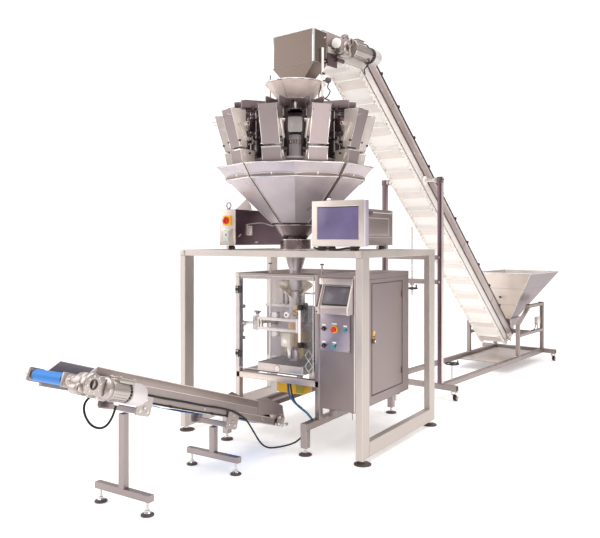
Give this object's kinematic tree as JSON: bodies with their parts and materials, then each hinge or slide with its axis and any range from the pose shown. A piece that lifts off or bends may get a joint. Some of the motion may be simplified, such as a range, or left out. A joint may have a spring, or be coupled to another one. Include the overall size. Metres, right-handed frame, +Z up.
{
  "type": "vertical form fill sealer line",
  "caption": "Vertical form fill seal bagging line: bagger under a platform, multihead weigher on top, inclined cleated infeed conveyor with bin behind, take-off conveyor in front.",
  "frame": {"origin": "on the floor, at the middle of the whole line's footprint", "axes": "+Z up; +Y runs from the take-off conveyor at the front to the feed bin at the back, the line's longest extent; +X to the right of someone facing the machine"},
  "size_m": [2.1233, 8.4615, 3.655],
  "materials": {
    "stainless": "brushed stainless sheet",
    "frame_paint": "bead-blasted light beige-grey tube",
    "frame_steel": "satin stainless tube",
    "dimple_steel": "dimple-rolled stainless sheet",
    "dark_drive": "dark drive castings",
    "cast_silver": "silver-painted cast aluminium",
    "aluminium": "machined aluminium",
    "clear_panel": "clear polycarbonate",
    "white_belt": "food-grade white belt",
    "blue_belt": "food-grade blue belt",
    "black_plastic": "moulded black plastic",
    "red_plastic": "moulded red plastic",
    "green_plastic": "moulded green plastic",
    "film": "wound packaging film",
    "chrome": "polished steel",
    "rubber": "black rubber",
    "display": "brushed display housing"
  },
  "bodies": {
    "line": {"collecting_chute": "stainless", "control_console": "stainless", "discharge_box": "stainless", "discharge_funnel": "stainless", "drive_units": "dark_drive", "electrical_cabinet": "stainless", "feed_bin": "stainless", "feed_hoppers": "dimple_steel", "film_pull_units": "cast_silver", "film_stand": "frame_steel", "forming_collar": "chrome", "forming_tube": "stainless", "infeed_base": "frame_steel", "infeed_belt": "white_belt", "infeed_gearmotor": "cast_silver", "infeed_side_frames": "stainless", "inlet_funnel": "stainless", "jaw_guard": "stainless", "levelling_feet": "chrome", "linear_feeders": "stainless", "machine_frame": "frame_steel", "platform_frame": "frame_paint", "sealing_frame": "aluminium", "takeoff_belt": "blue_belt", "takeoff_cable": "rubber", "takeoff_frame": "stainless", "takeoff_gearmotor": "cast_silver", "vibratory_feeder": "stainless", "weigh_hoppers": "dimple_steel", "weigher_base": "stainless", "weigher_column": "chrome", "weigher_display": "display"},
    "front_door": {"front_door": "clear_panel", "door_handle": "aluminium"},
    "cabinet_door": {"cabinet_door": "stainless"},
    "estop_button": {"estop_button": "red_plastic"},
    "start_button": {"start_button": "green_plastic"},
    "reset_button": {"reset_button": "green_plastic"},
    "mode_selector": {"mode_selector": "black_plastic"},
    "power_selector": {"power_selector": "black_plastic"},
    "main_switch": {"main_switch": "red_plastic"},
    "vertical_seal_bar": {"vertical_seal_bar": "aluminium"},
    "front_jaw": {"front_jaw": "cast_silver"},
    "rear_jaw": {"rear_jaw": "cast_silver"},
    "film_roll": {"film_roll": "film"},
    "dancer_arm": {"dancer_arm": "aluminium"},
    "takeoff_drive_drum": {"takeoff_drive_drum": "chrome"},
    "takeoff_tail_drum": {"takeoff_tail_drum": "chrome"},
    "infeed_drive_drum": {"infeed_drive_drum": "chrome"},
    "infeed_tail_drum": {"infeed_tail_drum": "chrome"},
    "stand_handwheel": {"stand_handwheel": "black_plastic"},
    "stabiliser_handwheel": {"stabiliser_handwheel": "black_plastic"},
    "caster_fork_1": {"caster_fork_1": "chrome"},
    "caster_wheel_1": {"caster_wheel_1": "rubber"},
    "caster_fork_2": {"caster_fork_2": "chrome"},
    "caster_wheel_2": {"caster_wheel_2": "rubber"},
    "caster_fork_3": {"caster_fork_3": "chrome"},
    "caster_wheel_3": {"caster_wheel_3": "rubber"},
    "caster_fork_4": {"caster_fork_4": "chrome"},
    "caster_wheel_4": {"caster_wheel_4": "rubber"}
  },
  "joints": [
    {"name": "front_door_hinge", "type": "hinge", "parent": "line", "child": "front_door", "pos_m": [-0.5237, -1.8828, 1.026], "axis": [0, 0, -1], "range_deg": [0, 110]},
    {"name": "cabinet_door_hinge", "type": "hinge", "parent": "line", "child": "cabinet_door", "pos_m": [0.6873, -0.9488, 0.91], "axis": [0, 0, 1], "range_deg": [0, 105]},
    {"name": "estop_press", "type": "slide", "parent": "line", "child": "estop_button", "axis": [0, 1, 0], "range_m": [0, 0.006], "stiffness_N_per_m": 400},
    {"name": "start_press", "type": "slide", "parent": "line", "child": "start_button", "axis": [0, 1, 0], "range_m": [0, 0.005], "stiffness_N_per_m": 400},
    {"name": "reset_press", "type": "slide", "parent": "line", "child": "reset_button", "axis": [0, 1, 0], "range_m": [0, 0.005], "stiffness_N_per_m": 400},
    {"name": "mode_turn", "type": "hinge", "parent": "line", "child": "mode_selector", "pos_m": [0.4053, -1.8868, 1.02], "axis": [0, 1, 0], "range_deg": [-45, 45]},
    {"name": "power_turn", "type": "hinge", "parent": "line", "child": "power_selector", "pos_m": [0.4053, -1.8868, 0.88], "axis": [0, 1, 0], "range_deg": [-45, 45]},
    {"name": "main_switch_turn", "type": "hinge", "parent": "line", "child": "main_switch", "pos_m": [-0.6147, -1.8968, 1.93], "axis": [0, 1, 0], "range_deg": [0, 90]},
    {"name": "vertical_seal_slide", "type": "slide", "parent": "line", "child": "vertical_seal_bar", "axis": [0, -1, 0], "range_m": [0, 0.02]},
    {"name": "front_jaw_slide", "type": "slide", "parent": "line", "child": "front_jaw", "axis": [0, 1, 0], "range_m": [0, 0.043]},
    {"name": "rear_jaw_slide", "type": "slide", "parent": "line", "child": "rear_jaw", "axis": [0, 1, 0], "range_m": [-0.043, 0]},
    {"name": "film_roll_spin", "type": "hinge", "parent": "line", "child": "film_roll", "pos_m": [-0.0847, -0.5968, 0.5], "axis": [1, 0, 0], "continuous": true},
    {"name": "dancer_swing", "type": "hinge", "parent": "line", "child": "dancer_arm", "pos_m": [-0.0847, -0.5968, 0.8], "axis": [1, 0, 0], "range_deg": [-20, 20]},
    {"name": "takeoff_drive_spin", "type": "hinge", "parent": "line", "child": "takeoff_drive_drum", "pos_m": [-0.0847, -4.1748, 0.95], "axis": [1, 0, 0], "continuous": true},
    {"name": "takeoff_tail_spin", "type": "hinge", "parent": "line", "child": "takeoff_tail_drum", "pos_m": [-0.0847, -2.05679, 0.26508], "axis": [1, 0, 0], "continuous": true},
    {"name": "infeed_drive_spin", "type": "hinge", "parent": "line", "child": "infeed_drive_drum", "pos_m": [-0.00127, -1.19353, 3.51], "axis": [0.9945, -0.1045, 0], "continuous": true},
    {"name": "infeed_tail_spin", "type": "hinge", "parent": "line", "child": "infeed_tail_drum", "pos_m": [0.42388, 2.85155, 0.41042], "axis": [0.9945, -0.1045, 0], "continuous": true},
    {"name": "stand_handwheel_spin", "type": "hinge", "parent": "line", "child": "stand_handwheel", "pos_m": [0.17329, 0.46732, 1.215], "axis": [0, 0, 1], "continuous": true},
    {"name": "stabiliser_spin", "type": "hinge", "parent": "line", "child": "stabiliser_handwheel", "pos_m": [0.55561, 0.70868, 0.355], "axis": [0, 0, 1], "continuous": true},
    {"name": "caster_swivel_1", "type": "hinge", "parent": "line", "child": "caster_fork_1", "pos_m": [-0.34386, 0.52168, 0.1], "axis": [0, 0, 1], "continuous": true},
    {"name": "caster_roll_1", "type": "hinge", "parent": "caster_fork_1", "child": "caster_wheel_1", "pos_m": [-0.34051, 0.5535, 0.0375], "axis": [0.9945, -0.1045, 0], "continuous": true},
    {"name": "caster_swivel_2", "type": "hinge", "parent": "line", "child": "caster_fork_2", "pos_m": [0.69044, 0.41297, 0.1], "axis": [0, 0, 1], "continuous": true},
    {"name": "caster_roll_2", "type": "hinge", "parent": "caster_fork_2", "child": "caster_wheel_2", "pos_m": [0.69379, 0.44479, 0.0375], "axis": [0.9945, -0.1045, 0], "continuous": true},
    {"name": "caster_swivel_3", "type": "hinge", "parent": "line", "child": "caster_fork_3", "pos_m": [-0.01041, 3.6942, 0.1], "axis": [0, 0, 1], "continuous": true},
    {"name": "caster_roll_3", "type": "hinge", "parent": "caster_fork_3", "child": "caster_wheel_3", "pos_m": [-0.00707, 3.72603, 0.0375], "axis": [0.9945, -0.1045, 0], "continuous": true},
    {"name": "caster_swivel_4", "type": "hinge", "parent": "line", "child": "caster_fork_4", "pos_m": [1.02389, 3.58549, 0.1], "axis": [0, 0, 1], "continuous": true},
    {"name": "caster_roll_4", "type": "hinge", "parent": "caster_fork_4", "child": "caster_wheel_4", "pos_m": [1.02723, 3.61732, 0.0375], "axis": [0.9945, -0.1045, 0], "continuous": true}
  ],
  "couplings": [
    {"joint": "rear_jaw_slide", "follows": "front_jaw_slide", "ratio": -1},
    {"joint": "takeoff_tail_spin", "follows": "takeoff_drive_spin", "ratio": 1},
    {"joint": "infeed_tail_spin", "follows": "infeed_drive_spin", "ratio": 1}
  ]
}
